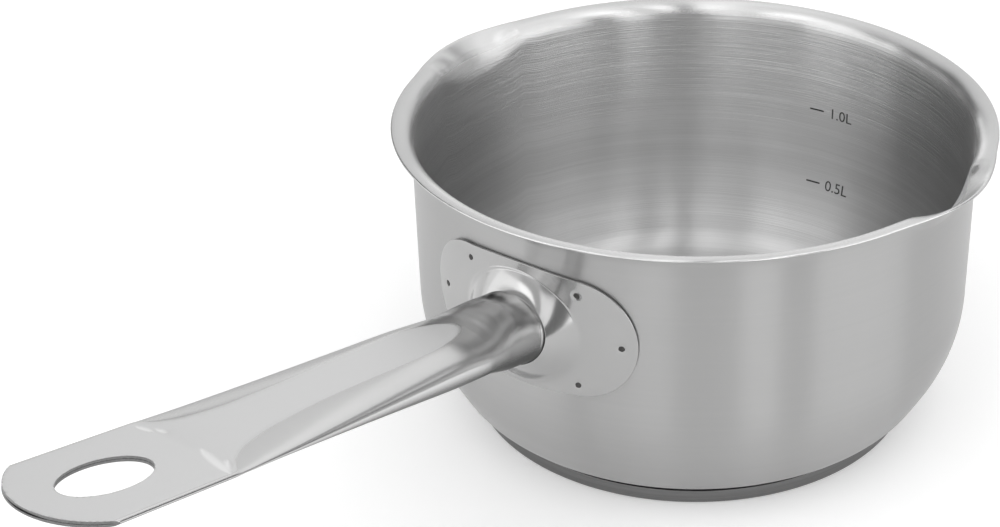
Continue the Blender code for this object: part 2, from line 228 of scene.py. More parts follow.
AXIS = np.array([-math.cos(HANDLE_TILT), 0.0, math.sin(HANDLE_TILT)])
ACROSS = np.array([0.0, 1.0, 0.0])
UPWARD = np.array([math.sin(HANDLE_TILT), 0.0, math.cos(HANDLE_TILT)])
AXIS_START = np.array([-BOWL_RADIUS, 0.0, HANDLE_HEIGHT])

# Camera, solved from the rim and the base in the photograph, for a picture of 1000 by 527
CAMERA_PLACE = (-0.405359, -0.266271, 0.319436)
CAMERA_TURN = (1.0852973, 0.0048954, -0.9523765)
CAMERA_LENS = 67.3803
CAMERA_SENSOR = 36.0
CAMERA_SHIFT = (-0.126625, -0.073995)
CAMERA_NEAREST = 10.0 * MM

# Studio light, in four bands by the sine of a direction's height. The three lower bands hold
# upright panels, by the heading where each begins, in degrees from +X towards +Y. The highest
# holds strips that hang side by side, by how far they lie to the right of the camera's view:
# one row on the camera's side and one beyond the pan.
STUDIO_RIGHT = math.radians(-56.7)
STUDIO_FRONT = math.radians(-146.7)
BRIGHTEST = 4.0
LOW_PANELS = (
    (-180, 0.8), (-170, 1.8), (-154, 0.3), (-128, 2.4), (-114, 0.2), (-100, 2.2), (-60, 0.5), (0, 0.8),
    (30, 1.5), (45, 1.2), (60, 0.1), (75, 0.4), (90, 1.0), (105, 1.5), (120, 1.9), (150, 2.6), (165, 0.8),
)
MIDDLE_PANELS = (
    (-180, 1.8), (-154, 0.3), (-132, 2.0), (-114, 0.3), (-100, 2.0), (-60, 0.1), (-30, 1.0), (-15, 0.2),
    (0, 0.8), (15, 0.9), (30, 0.85), (45, 0.5), (60, 0.1), (120, 1.2), (150, 0.8),
)
UPPER_PANELS = (
    (-180, 0.4), (-120, 0.3), (-90, 0.8), (-60, 0.1), (-30, 0.3), (-15, 1.0), (20, 0.85), (60, 0.1),
    (110, 1.4), (150, 1.0),
)
FRONT_STRIPS = (
    (-1.0, 1.7), (-0.52, 2.2), (-0.36, 0.9), (-0.3, 1.3), (-0.14, 1.7), (0.0, 0.5), (0.1, 2.0), (0.21, 0.7),
    (0.34, 2.3), (0.5, 1.1), (0.7, 1.7),
)
BACK_STRIPS = ((-1.0, 0.1), (-0.6, 0.8), (-0.12, 1.3), (0.0, 0.9), (0.12, 1.2), (0.4, 1.0), (0.6, 1.4))
MIDDLE_STARTS = 0.25
UPPER_STARTS = 0.42
HIGH_STARTS = 0.6
FULL_TURN = 360.0
FULL_WIDTH = 2.0

# Floor
FLOOR_REACH = 4.0
FLOOR_DROP = 0.1 * MM
FLOOR_COLOUR = 0.84
FLOOR_LIFT = 0.28


class Signal:
    """One output in a node tree, with the arithmetic that the finishes use."""

    def __init__(self, nodes, socket):
        self.nodes = nodes
        self.socket = socket

    def __add__(self, other):
        return self.nodes.maths("ADD", self, other)

    __radd__ = __add__

    def __mul__(self, other):
        return self.nodes.maths("MULTIPLY", self, other)

    __rmul__ = __mul__

    def __sub__(self, other):
        return self.nodes.maths("SUBTRACT", self, other)

    def __rsub__(self, other):
        return self.nodes.maths("SUBTRACT", other, self)

    def beside(self, name):
        """Another output of the same node."""
        return Signal(self.nodes, self.socket.node.outputs[name])


class Nodes:
    """A node tree whose nodes are all made by one method."""

    def __init__(self, tree):
        self.tree = tree
        self.tree.nodes.clear()

    def node(self, kind, settings=None, inputs=None, output=0):
        """A node of a kind, its settings made first, then its inputs set or linked."""
        made = self.tree.nodes.new(kind)
        for name, value in (settings or {}).items():
            if name == "stops":
                self.set_stops(made.color_ramp, value)
            else:
                setattr(made, name, value)
        for name, value in (inputs or {}).items():
            if isinstance(value, Signal):
                self.tree.links.new(value.socket, made.inputs[name])
            else:
                made.inputs[name].default_value = value
        return Signal(self, made.outputs[output])

    def set_stops(self, ramp, stops):
        """Gives a ramp its stops: place and level of each."""
        while len(ramp.elements) < len(stops):
            ramp.elements.new(0.5)
        for element, (place, level) in zip(ramp.elements, stops):
            element.position = place
            element.color = (level, level, level, 1.0)

    def maths(self, operation, first, second):
        return self.node("ShaderNodeMath", {"operation": operation}, {0: first, 1: second})

    def ramp(self, value, stops):
        """Levels between the stops that the value passes."""
        return self.node("ShaderNodeValToRGB", {"stops": stops}, {"Fac": value})


class Studio(Nodes):
    """The world's nodes."""

    def panels(self, place, stops, span):
        """Light levels that hold from each stop to the next; the span's middle is 0."""
        stops = tuple((at / span + 0.5, level / BRIGHTEST) for at, level in stops)
        level = self.ramp(place * (1.0 / span) + 0.5, stops)
        level.socket.node.color_ramp.interpolation = "CONSTANT"
        return level * BRIGHTEST

    def chosen(self, place, edge, below, above):
        """One level below an edge and another above it."""
        return below + (above - below) * self.maths("GREATER_THAN", place, edge)


class Finish(Nodes):
    """One material: its nodes and its Principled surface."""

    def __init__(self, name):
        self.material = bpy.data.materials.new(name)
        self.material.use_nodes = True
        super().__init__(self.material.node_tree)
        self.output = self.tree.nodes.new("ShaderNodeOutputMaterial")

    def place(self):
        """The piece's own coordinates in metres."""
        return self.node("ShaderNodeTexCoord", output="Object")

    def stretched(self, scale):
        """The piece's coordinates scaled differently along each axis."""
        return self.node("ShaderNodeMapping", inputs={"Vector": self.place(), "Scale": scale})

    def noise(self, vector, scale=1.0, detail=2.0, roughness=0.5):
        """Soft noise around a half, scale times finer than its coordinates."""
        inputs = {"Vector": vector, "Scale": scale, "Detail": detail, "Roughness": roughness}
        return self.node("ShaderNodeTexNoise", inputs=inputs)

    def mixed(self, share, first, second):
        """A colour between two colours."""
        inputs = {"Factor": share, "A": first, "B": second}
        return self.node("ShaderNodeMix", {"data_type": "RGBA"}, inputs, output="Result")

    def bump(self, height, distance):
        """A normal tilted by a height from 0 to 1 that stands for a distance in metres."""
        return self.node("ShaderNodeBump", inputs={"Height": height, "Distance": distance})

    def flat_place(self):
        """The X and Y of the piece's own coordinates."""
        along = self.node("ShaderNodeSeparateXYZ", inputs={"Vector": self.place()})
        return along, along.beside("Y")

    def vector(self, x, y, z):
        return self.node("ShaderNodeCombineXYZ", inputs={"X": x, "Y": y, "Z": z})

    def attribute(self, name):
        """A number that the mesh holds for each point."""
        return self.node("ShaderNodeAttribute", {"attribute_name": name}, output="Fac")

    def surface(self, **inputs):
        """Closes the material; an input's name has underscores for its spaces."""
        named = {name.replace("_", " "): value for name, value in inputs.items()}
        shader = self.node("ShaderNodeBsdfPrincipled", inputs=named)
        self.tree.links.new(shader.socket, self.output.inputs["Surface"])
        return self.material

    def metal(self, colour, gloss, **inputs):
        """Closes the material as bare metal."""
        return self.surface(Base_Color=colour, Metallic=1.0, Roughness=gloss, **inputs)


def grey(level, warmth=0.0):
    """An almost neutral steel colour."""
    return (level * (1.0 + warmth), level, level * (1.0 - warmth), 1.0)


def polished_bowl_finish():
    """Mirror-like sheet polished round and round: sharp sideways, drawn out up and down."""
    finish = Finish("polished bowl steel")
    waves = finish.noise(finish.place(), scale=14.0, detail=1.0, roughness=0.4)
    lines = finish.noise(finish.stretched((9.0, 9.0, 900.0)), roughness=0.6)
    smears = finish.noise(finish.stretched((30.0, 30.0, 12.0)), detail=4.0, roughness=0.6)
    colour = finish.mixed(smears * 0.6 + lines * 0.4, grey(0.38), grey(0.435, 0.004))
    gloss = 0.28 + smears * 0.03 + lines * 0.02
    return finish.metal(colour, gloss, Normal=finish.bump(waves, 0.0001),
                        Anisotropic=1.0, Anisotropic_Rotation=0.25)


def brushed_inside_finish():
    """Fine brushed rings that keep their distance along the wall.

    The lip is polished. The rings start a little below it, and they are fainter and duller
    towards the bottom.
    """
    finish = Finish("brushed inner steel")
    along, across = finish.flat_place()
    travel = finish.attribute("travel")
    from_lip = finish.attribute("from_lip")
    brushed = finish.ramp(from_lip * 50.0, ((0.20, 0.0), (0.55, 1.0)))
    upper = finish.ramp(from_lip * 10.0, ((0.25, 1.0), (0.5, 0.25)))
    rings = finish.vector(along * 16.0, across * 16.0, travel * 2600.0)
    lines = finish.noise(rings, detail=3.0, roughness=0.65)
    bands = finish.noise(finish.vector(along * 5.0, across * 5.0, travel * 420.0))
    lined = finish.mixed(lines * 0.6 + bands * 0.4, grey(0.49), grey(0.76))
    colour = finish.mixed(brushed, grey(0.67), lined)
    gloss = 0.25 + brushed * (0.12 + bands * 0.03 - upper * 0.09)
    return finish.metal(colour, gloss, Normal=finish.bump(lines * brushed * upper, 0.00024),
                        Anisotropic=1.0, Anisotropic_Rotation=0.25)


def base_finish_with_painted_shade():
    """Turned steel: rings around the pan's axis, its colour painted much darker than the bowl's as shade.
    """
    finish = Finish("turned base steel")
    along, across = finish.flat_place()
    rings = finish.vector(along * 20.0, across * 20.0, finish.attribute("travel") * 3000.0)
    lines = finish.noise(rings, detail=3.0, roughness=0.6)
    # Painted shade: both greys are far darker than the bowl's steel; the rings between them are the turned
    # steel's own tone
    colour = finish.mixed(lines, grey(0.13), grey(0.24))
    return finish.metal(colour, 0.26 + lines * 0.12, Normal=finish.bump(lines, 0.00002))


def plate_finish():
    """Polished pressed sheet with faint smears."""
    finish = Finish("polished plate steel")
    waves = finish.noise(finish.place(), scale=40.0, detail=1.0, roughness=0.4)
    smears = finish.noise(finish.place(), scale=90.0, detail=3.0, roughness=0.6)
    colour = finish.mixed(smears, grey(0.375), grey(0.43, 0.004))
    return finish.metal(colour, 0.14 + smears * 0.05, Normal=finish.bump(waves, 0.00006))


def handle_finish():
    """Satin on the pressed flats, polished on the tube and its shoulders; below, painted shade darkens it,
    and it is duller there.
    """
    finish = Finish("handle steel")
    satin = finish.attribute("satin")
    # Painted shade: how far each point of the tube's underside is darkened
    under = finish.attribute("under")
    grain = finish.noise(finish.stretched((500.0, 2600.0, 2600.0)), detail=3.0, roughness=0.6)
    smears = finish.noise(finish.place(), scale=60.0, detail=3.0, roughness=0.6)
    colour = finish.mixed(grain * 0.5 + smears * 0.5, grey(0.62), grey(0.69, 0.003))
    # Painted shade: darkens the tube's underside towards grey 0.27
    colour = finish.mixed(under, colour, grey(0.27))
    colour = finish.mixed(satin, colour, grey(0.76))
    colour = finish.mixed(finish.attribute("leaf"), colour, grey(0.90))
    gloss = 0.19 + smears * 0.05 + satin * (0.26 + grain * 0.08) + under * 0.08
    return finish.metal(colour, gloss, Normal=finish.bump(grain * satin, 0.00001),
                        Specular_Tint=grey(0.5))


def cut_edge_finish():
    """Sheared edge of the pressed tube: dull, dark and finely scored."""
    finish = Finish("cut edge steel")
    scores = finish.noise(finish.place(), scale=1800.0, detail=3.0, roughness=0.7)
    colour = finish.mixed(scores, grey(0.10), grey(0.30))
    return finish.metal(colour, 0.35 + scores * 0.15, Normal=finish.bump(scores, 0.00003))


def weld_finish():
    """Heat-darkened, pitted weld metal."""
    finish = Finish("weld steel")
    pits = finish.noise(finish.place(), scale=2500.0, detail=3.0, roughness=0.6)
    colour = finish.mixed(pits, grey(0.03), grey(0.12, 0.02))
    return finish.metal(colour, 0.45 + pits * 0.2, Normal=finish.bump(pits, 0.00008))


def aluminium_finish():
    """Rolled aluminium, hidden inside the base."""
    finish = Finish("rolled aluminium")
    grain = finish.noise(finish.stretched((60.0, 2400.0, 2400.0)), detail=3.0, roughness=0.6)
    colour = finish.mixed(grain, grey(0.68, -0.01), grey(0.78, -0.01))
    return finish.metal(colour, 0.38 + grain * 0.12)


def print_finish():
    """Dark grey etched print, a little uneven."""
    finish = Finish("litre mark print")
    wear = finish.noise(finish.place(), scale=1200.0, roughness=0.6)
    colour = finish.mixed(wear, grey(0.035), grey(0.07))
    return finish.surface(Base_Color=colour, Metallic=0.0, Roughness=0.5 + wear * 0.15)


def between_rings(rows, columns, first=0, around=False):
    """Quads between neighbouring closed rings; around joins the last ring to the first as well."""
    row = np.arange(rows if around else rows - 1)[:, None]
    column = np.arange(columns)[None, :]
    below = first + row * columns
    above = first + (row + 1) % rows * columns
    onward = (column + 1) % columns
    quads = np.stack([below + column, below + onward, above + onward, above + column], axis=-1)
    return quads.reshape(-1, 4)


def make_piece(name, points, faces, finishes, face_finish=None, values=None):
    """A smooth mesh object at the origin; values are numbers for each point, by attribute name."""
    mesh = bpy.data.meshes.new(name)
    mesh.from_pydata(points.tolist(), [], faces)
    mesh.shade_smooth()
    for finish in finishes:
        mesh.materials.append(finish)
    if face_finish is not None:
        mesh.polygons.foreach_set("material_index", face_finish)
    for label, numbers in (values or {}).items():
        mesh.attributes.new(label, "FLOAT", "POINT").data.foreach_set("value", numbers)
    made = bpy.data.objects.new(name, mesh)
    bpy.context.scene.collection.objects.link(made)
    return made


def arc(centre, radius, start, end, steps):
    """Radii and heights on an arc; angles run from the outward direction towards +Z."""
    angle = np.linspace(start, end, steps)
    return centre[0] + radius * np.cos(angle), centre[1] + radius * np.sin(angle)


def path_length(radius, height):
    """Distance travelled along each profile, from its first row on."""
    step = np.hypot(np.diff(radius, axis=0), np.diff(height, axis=0))
    return np.concatenate([np.zeros((1,) + step.shape[1:]), np.cumsum(step, axis=0)])


def with_poles(rows):
    """Rows laid end to end, with one value for each pole: the first row and the last."""
    middle = rows[1:-1].reshape((-1,) + rows.shape[2:])
    return np.concatenate([rows[0, :1], middle, rows[-1, :1]])


def faces_to_poles(rows, columns):
    """Quads between the rows of with_poles, and a fan of triangles to each pole."""
    column = np.arange(columns)
    onward = (column + 1) % columns
    last = 1 + (rows - 3) * columns
    quads = between_rings(rows - 2, columns, first=1)
    low_fan = np.stack([np.zeros(columns, int), 1 + onward, 1 + column], axis=1)
    high_fan = np.stack([np.full(columns, last + columns), last + column, last + onward], axis=1)
    return quads.tolist() + low_fan.tolist() + high_fan.tolist()


def turned(name, radius, height, finishes, finish_rows=None, lip_row=0):
    """A closed shape turned round Z: rows run along the profile, columns round the axis.

    Row and column give the point (radius cos a, radius sin a, height), where a is the column's
    angle. The first and last rows are the two poles on the axis.
    """
    rows, columns = radius.shape
    angle = np.linspace(0.0, 2 * math.pi, columns, endpoint=False)
    rings = np.stack([radius * np.cos(angle), radius * np.sin(angle), height], axis=-1)
    travel = path_length(radius, height)
    values = {"travel": with_poles(travel), "from_lip": with_poles(np.abs(travel - travel[lip_row]))}
    face_finish = None
    if finish_rows is not None:
        ends = [finish_rows[0]] * columns + [finish_rows[-1]] * columns
        face_finish = np.concatenate([np.repeat(finish_rows[1:-1], columns), ends]).astype(np.int32)
    faces = faces_to_poles(rows, columns)
    return make_piece(name, with_poles(rings), faces, finishes, face_finish, values)


def into_spout(angle, half_angle):
    """1 at the middle of either spout, falling as a parabola to 0 at half_angle from it.

    The parabola meets 0 in a soft corner: each value x becomes (x + sqrt(x x + soft soft)) / 2.
    """
    from_spout = np.abs(np.abs(np.arctan2(np.sin(angle), np.cos(angle))) - SPOUT_ANGLE)
    share = 1.0 - (from_spout / half_angle) ** 2
    return (share + np.sqrt(share ** 2 + SPOUT_SOFT ** 2)) / (1.0 + math.hypot(1.0, SPOUT_SOFT))


def bowl_outside(angle):
    """Radius and height rows of the bowl's outer side, from the middle of its underside to its lip.

    The foot is an arc, a straight flank and a wide arc up to the upright wall. The rim is a
    quadratic curve from the wall to the lip. In a spout its start drops, its middle is pulled
    down and its end moves out.
    """
    turn = math.pi / 2
    corner = arc((UNDERSIDE_RADIUS, UNDERSIDE + FOOT_CORNER), FOOT_CORNER, -turn, -FLANK_ANGLE, FOOT_ROWS)
    shoulder_centre = (BOWL_RADIUS - SHOULDER_RADIUS, SHOULDER_HEIGHT)
    shoulder = arc(shoulder_centre, SHOULDER_RADIUS, -FLANK_ANGLE, 0.0, SHOULDER_ROWS)
    flank = [np.linspace(corner[i][-1], shoulder[i][0], FLANK_ROWS)[1:-1] for i in (0, 1)]
    under = UNDERSIDE_RADIUS * np.array(UNDERSIDE_SHARES)
    foot_radius = np.concatenate([under, corner[0], flank[0], shoulder[0]])
    foot_height = np.concatenate([np.full(len(under), UNDERSIDE), corner[1], flank[1], shoulder[1]])
    scoop = into_spout(angle, SPOUT_HALF_ANGLE)
    bulge = into_spout(angle, LIP_HALF_ANGLE) ** 2
    top = RIM_HEIGHT - BOWL_SHEET
    start = top - RIM_RISE - SPOUT_DEPTH * scoop
    rise = np.linspace(0.0, 1.0, WALL_ROWS)[1:-1, None]
    wall_height = SHOULDER_HEIGHT + (start - SHOULDER_HEIGHT) * rise
    wall_radius = np.full_like(wall_height, BOWL_RADIUS)
    t = np.linspace(0.0, 1.0, RIM_ROWS)[:, None]
    end = BOWL_RADIUS + RIM_FLARE + SPOUT_REACH * bulge - BOWL_SHEET / 2
    before, middle, after = (1 - t) ** 2, 2 * t * (1 - t), t ** 2
    rim_radius = before * BOWL_RADIUS + middle * (BOWL_RADIUS + SPOUT_CONTROL_OUT * scoop) + after * end
    rim_height = before * start + middle * (top - SPOUT_CONTROL_DROP * scoop) + after * top
    columns = np.ones_like(angle)
    radius = np.concatenate([foot_radius[:, None] * columns, wall_radius, rim_radius])
    height = np.concatenate([foot_height[:, None] * columns, wall_height, rim_height])
    return radius, height


def profile_normal(radius, height):
    """Unit normal of each profile, to the right of its direction, from differences along it."""
    along_radius = np.gradient(radius, axis=0)
    along_height = np.gradient(height, axis=0)
    length = np.hypot(along_radius, along_height)
    return along_height / length, -along_radius / length


def make_bowl(polished, brushed):
    """The drawn bowl as one closed sheet: outer side, half-round lip, inner side a sheet away."""
    angle = np.linspace(0.0, 2 * math.pi, BOWL_COLUMNS, endpoint=False)
    radius, height = bowl_outside(angle)
    normal_radius, normal_height = profile_normal(radius, height)
    inner_radius = radius - BOWL_SHEET * normal_radius
    inner_height = height - BOWL_SHEET * normal_height
    inner_radius[0] = 0.0
    turn = np.linspace(-math.pi / 2, math.pi / 2, LIP_ROWS)[1:-1, None]
    lip_radius = (radius[-1] + inner_radius[-1]) / 2 + BOWL_SHEET / 2 * np.cos(turn)
    lip_height = (height[-1] + inner_height[-1]) / 2 + BOWL_SHEET / 2 * np.sin(turn)
    all_radius = np.concatenate([radius, lip_radius, inner_radius[::-1]])
    all_height = np.concatenate([height, lip_height, inner_height[::-1]])
    lip_row = len(radius) + len(lip_radius) // 2
    finish_rows = (np.arange(len(all_radius) - 1) >= lip_row).astype(int)
    made = turned("bowl", all_radius, all_height, [polished, brushed], finish_rows, lip_row)
    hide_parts("pan_body")
    return made


def make_base(finish):
    """The cap under the pan: flat floor, rounded lower edge, short side with a broken top edge."""
    inner, edge = BASE_RADIUS - BASE_SHEET, BASE_TOP_EDGE
    corner_centre = (BASE_RADIUS - BASE_EDGE, BASE_EDGE)
    corner = arc(corner_centre, BASE_EDGE, -math.pi / 2, 0.0, BASE_CORNER_ROWS)
    top_centre = (BASE_RADIUS - edge, BASE_HEIGHT - edge)
    top = arc(top_centre, edge, 0.0, math.pi / 2, BASE_TOP_ROWS)
    floor = np.linspace(0.0, corner[0][0], BASE_FLOOR_ROWS)[:-1]
    inside = inner * np.linspace(1.0, 0.0, BASE_INSIDE_ROWS)
    radius = np.concatenate([floor, corner[0], top[0], [inner], inside])
    lower = np.concatenate([0.0 * floor, corner[1], top[1]])
    height = np.concatenate([lower, [BASE_HEIGHT], np.full(len(inside), BASE_SHEET)])
    columns = np.ones(BASE_COLUMNS)
    made = turned("base", radius[:, None] * columns, height[:, None] * columns, [finish])
    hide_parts("base_cap")
    return made


def on_wall(radius, along, up):
    """Points on a cylinder round the bowl: along the wall and up from the handle's axis."""
    angle = along / radius
    return np.stack([-radius * np.cos(angle), radius * np.sin(angle), HANDLE_HEIGHT + up], axis=-1)


def on_axis(distance, across, up):
    """Points of a section square to the handle's axis, at a distance from the wall."""
    centre = AXIS_START + np.asarray(distance)[..., None] * AXIS
    return centre + np.asarray(across)[..., None] * ACROSS + np.asarray(up)[..., None] * UPWARD


def plate_outline(swing, inset):
    """Along and up of the plate's outline: round ends and crowned long edges, drawn in by inset.

    Each quarter is walked at an even pace: first a quarter circle, then half a long edge, which
    rises as a parabola to the middle.
    """
    end_radius = PLATE_END_RADIUS - inset
    straight = PLATE_HALF_LENGTH - PLATE_END_RADIUS
    crown = PLATE_HALF_HEIGHT - PLATE_END_RADIUS
    quarter_arc = math.pi / 2 * end_radius
    into_quarter = np.arcsin(np.abs(np.sin(swing))) / (math.pi / 2)
    travelled = into_quarter * (quarter_arc + straight)
    turn = np.minimum(travelled, quarter_arc) / end_radius
    left = straight - np.maximum(travelled - quarter_arc, 0.0)
    along = left + end_radius * np.cos(turn)
    up = end_radius * np.sin(turn) + crown * (1.0 - (left / straight) ** 2)
    return along * np.sign(np.cos(swing)), up * np.sign(np.sin(swing)) + PLATE_RISE


def weld_places():
    """The six weld spots, as distances along the wall and up from the handle's axis."""
    places = []
    for side in (-1, 1):
        places.append((side * WELD_INNER_REACH, WELD_INNER_RISE))
        places.append((side * WELD_OUTER_REACH, 0.0))
        places.append((side * WELD_INNER_REACH, -WELD_INNER_RISE))
    return places


def dimple_depth(along, up):
    """How deep the plate is dented: a bell-shaped pit at each weld spot, with a faint raised ring."""
    depth = np.zeros_like(along)
    for place_along, place_up in weld_places():
        reach = np.hypot(along - place_along, up - place_up) / DIMPLE_RADIUS
        depth += DIMPLE_DEPTH * (1.0 - DIMPLE_RING * reach ** 2) * np.exp(-reach ** 2)
    return depth


def grid_normal(points):
    """Unit normals of a grid of closed rings, from differences along and around it."""
    around = np.roll(points, -1, axis=1) - np.roll(points, 1, axis=1)
    along = np.gradient(points, axis=0)
    normal = np.cross(along, around)
    return normal / np.linalg.norm(normal, axis=2, keepdims=True)


def thick_sheet(points, sheet, bulge, back_every):
    """Closes a grid of rings into a sheet: a coarser back face a sheet away and rounded edges.

    Each edge is a half ellipse: bulge beyond the edge, half the sheet above and below its middle.
    """
    normal = grid_normal(points)
    back = points - sheet * normal
    turn = np.linspace(math.pi / 2, -math.pi / 2, EDGE_ROWS)[1:-1, None, None]

    def edge(row, beside):
        outward = points[row] - points[beside]
        outward = outward / np.linalg.norm(outward, axis=1, keepdims=True)
        middle = (points[row] + back[row]) / 2
        return middle + bulge * np.cos(turn) * outward + sheet / 2 * np.sin(turn) * normal[row]

    rows = np.unique(np.append(np.arange(0, len(points), back_every), len(points) - 1))
    return np.concatenate([points, edge(-1, -2), back[rows[::-1]], edge(0, 1)[::-1]])


def softened(value, soft):
    """The value above 0 and 0 below it, with a parabola in the corner, from -soft to soft."""
    return np.where(np.abs(value) < soft, (value + soft) ** 2 / (4.0 * soft), np.maximum(value, 0.0))


def mouth_oval(swing):
    """Across and up of the neck's mouth: the tube's oval with a clearance, shifted aside and down.

    The clearance is widest at the slit's angle, and falls off from there as a bell curve.
    """
    slit = SLIT_WIDTH * np.exp(-((swing - SLIT_ANGLE) / SLIT_SPREAD) ** 2)
    clearance = RING_STEP + MOUTH_CLEARANCE + slit
    across = (TUBE_HALF_WIDTH + clearance) * np.cos(swing)
    up = (TUBE_HALF_HEIGHT + clearance) * np.sin(swing)
    return across - MOUTH_SHIFT, up - MOUTH_SHIFT


def plate_surface():
    """Rings of the plate's outer face, from its outline in to the neck's mouth.

    The flat part blends the outline into the boss's oval, and the neck blends that oval into the
    mouth's. A lift along the handle's axis is then added. It follows x + bulge x (1 - x), with x
    from 0 at the boss to 1 at the mouth, and outside the boss the straight line (1 + bulge) x.
    Only what is above 0 lifts, with a softened corner, the least soft at the crease angle.
    """
    swing = (np.arange(PLATE_COLUMNS) + 0.5) * 2 * math.pi / PLATE_COLUMNS
    edge_along, edge_up = plate_outline(swing, PLATE_INSET)
    boss_along = BOSS_HALF_WIDTH * np.cos(swing)
    boss_up = BOSS_HALF_HEIGHT * np.sin(swing)
    mouth_across, mouth_up = mouth_oval(swing)
    out = np.linspace(1.0, 0.0, PLATE_ROWS)[:-1, None]
    along = boss_along + (edge_along - boss_along) * out
    up = boss_up + (edge_up - boss_up) * out
    radius = PLATE_RADIUS - dimple_depth(along, up)
    flat = on_wall(radius, along * radius / PLATE_RADIUS, up)
    boss = on_wall(PLATE_RADIUS, boss_along, boss_up)
    mouth = on_axis(0.0, mouth_across, mouth_up)
    inward = 1.0 - np.cos(np.linspace(0.0, math.pi / 2, NECK_ROWS)[:, None]) ** NECK_PACE
    neck = boss + (mouth - boss) * inward[..., None]
    neck_width = np.hypot(boss_along - mouth_across, boss_up - mouth_up)
    outside = -np.hypot(along - boss_along, up - boss_up) / neck_width
    share = np.concatenate([outside, inward * np.ones_like(swing)])
    rise = np.where(share > 0.0, share + NECK_BULGE * share * (1.0 - share), (1.0 + NECK_BULGE) * share)
    lift = softened(rise, NECK_SOFT - NECK_SOFTER * np.cos(swing - CREASE_ANGLE))
    return np.concatenate([flat, neck]) + AXIS * NECK_LENGTH * lift[..., None]


def make_plate(finish):
    """The plate and its neck as one closed pressed sheet.

    Its rings are turned round at the end, so that the faces between them point outwards.
    """
    rings = thick_sheet(plate_surface(), PLATE_SHEET, PLATE_EDGE_BULGE, PLATE_BACK_EVERY)[:, ::-1]
    rows, columns, _ = rings.shape
    faces = between_rings(rows, columns, around=True)
    made = make_piece("mounting_plate", rings.reshape(-1, 3), faces.tolist(), [finish])
    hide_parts("handle_plate")
    return made


def make_weld(index, place, finish):
    """One weld nugget: a low crater turned round the wall's normal, closed by its underside.

    From its middle to its edge the crater rises and falls as half a sine, and the edge turns
    down as an eighth power. Its outline wobbles as two small sines of the angle.
    """
    along, up = place
    share = np.linspace(0.0, 1.0, WELD_ROWS)
    radius = WELD_RADIUS * np.concatenate([share, [1.0, 0.5, 0.0]])
    crater = -WELD_SUNK * (1.5 - np.sin(math.pi * share)) - 2 * WELD_SUNK * share ** 8
    level = np.concatenate([crater, np.full(3, -WELD_DEPTH)])
    turn = np.linspace(0.0, 2 * math.pi, WELD_COLUMNS, endpoint=False)
    wobble = 1.0 + 0.06 * np.sin(2 * turn + index) + 0.04 * np.sin(5 * turn + 2 * index)
    reach = radius[:, None] * wobble
    height = level[:, None] * np.ones(WELD_COLUMNS)
    rings = on_wall(PLATE_RADIUS + height, along + reach * np.cos(turn), up + reach * np.sin(turn))
    faces = faces_to_poles(len(rings), WELD_COLUMNS)
    made = make_piece(f"weld_{index}", with_poles(rings), faces, [finish])
    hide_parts(f"spot_weld_{index}")
    return made


def smooth_through(x, at, value):
    """A curve through the points (at, value) that doesn't overshoot.

    Between two points it is a cubic. Its slope at a point is the harmonic mean of the slopes on
    both sides, or zero where these differ in sign.
    """
    run = np.diff(at)
    slope = np.diff(value) / run
    before, after = slope[:-1], slope[1:]
    same = before * after > 0
    mean = np.where(same, 2 * before * after / np.where(same, before + after, 1.0), 0.0)
    tangent = np.concatenate([slope[:1], mean, slope[-1:]])
    piece = np.clip(np.searchsorted(at, x, side="right") - 1, 0, len(run) - 1)
    t = (x - at[piece]) / run[piece]
    width = run[piece]
    start = (1 + 2 * t) * (1 - t) ** 2 * value[piece] + t * (1 - t) ** 2 * width * tangent[piece]
    end = t ** 2 * (3 - 2 * t) * value[piece + 1] - t ** 2 * (1 - t) * width * tangent[piece + 1]
    return start + end


def ring_sections(half_width, half_height, flat):
    """Across and up of ovals that are pressed flat above and below.

    Each is the ellipse through the flats' edges, held down to half_height with a soft corner.
    Also how far each point is into the flats: 1 on them, falling to 0 at their edges.
    """
    half_width, half_height, flat = half_width[:, None], half_height[:, None], flat[:, None]
    full_height = half_height / np.sqrt(1.0 - (flat / half_width) ** 2)
    edge = np.hypot(flat, FLAT_LEAST)
    side = np.arccos(edge / half_width) * np.linspace(-1.0, 1.0, ROUND_POINTS)
    level = edge * np.linspace(1.0, -1.0, FLAT_POINTS)[1:-1]
    right, right_up = half_width * np.cos(side), full_height * np.sin(side)
    level_up = full_height * np.sqrt(1.0 - (level / half_width) ** 2)
    across = np.concatenate([right, level, -right[:, ::-1], -level], axis=1)
    up = np.concatenate([right_up, level_up, right_up[:, ::-1], -level_up], axis=1)
    over = np.abs(up) - half_height
    pressed = softened(over, np.minimum(FLAT_SOFT, half_height / 2))
    return across, up - np.sign(up) * pressed, np.clip(over / FLAT_FADE, 0.0, 1.0)


def leaf_marks(distance, across):
    """1 along the small pressed leaves where the blade starts, falling to 0 at their sides.

    A leaf follows a line. Its half width swells to the middle as the root of a parabola, from a
    share of it at the ends.
    """
    mark = np.zeros_like(across)
    for start, end, wide in LEAVES:
        start, end = np.array(start) * MM, np.array(end) * MM
        line = end - start
        share = ((distance - start[0]) * line[0] + (across - start[1]) * line[1]) / (line @ line)
        share = np.clip(share, 0.0, 1.0)
        reach = np.hypot(distance - start[0] - share * line[0], across - start[1] - share * line[1])
        swell = np.sqrt(np.clip(4 * share * (1 - share), LEAF_END_SHARE ** 2, 1.0))
        inward = 1.0 - reach / (wide * MM * swell)
        mark = np.maximum(mark, np.clip(LEAF_STEEPNESS * inward, 0.0, 1.0))
    return mark


def prism(name, along, across):
    """A closed cutter that stands square through the blade on an outline."""
    low = on_axis(along, across, np.full(len(along), -CUTTER_HALF_HEIGHT))
    high = on_axis(along, across, np.full(len(along), CUTTER_HALF_HEIGHT))
    size = len(along)
    faces = between_rings(2, size).tolist() + [list(range(size))[::-1], list(range(size, 2 * size))]
    return make_piece(name, np.concatenate([low, high]), faces, [])


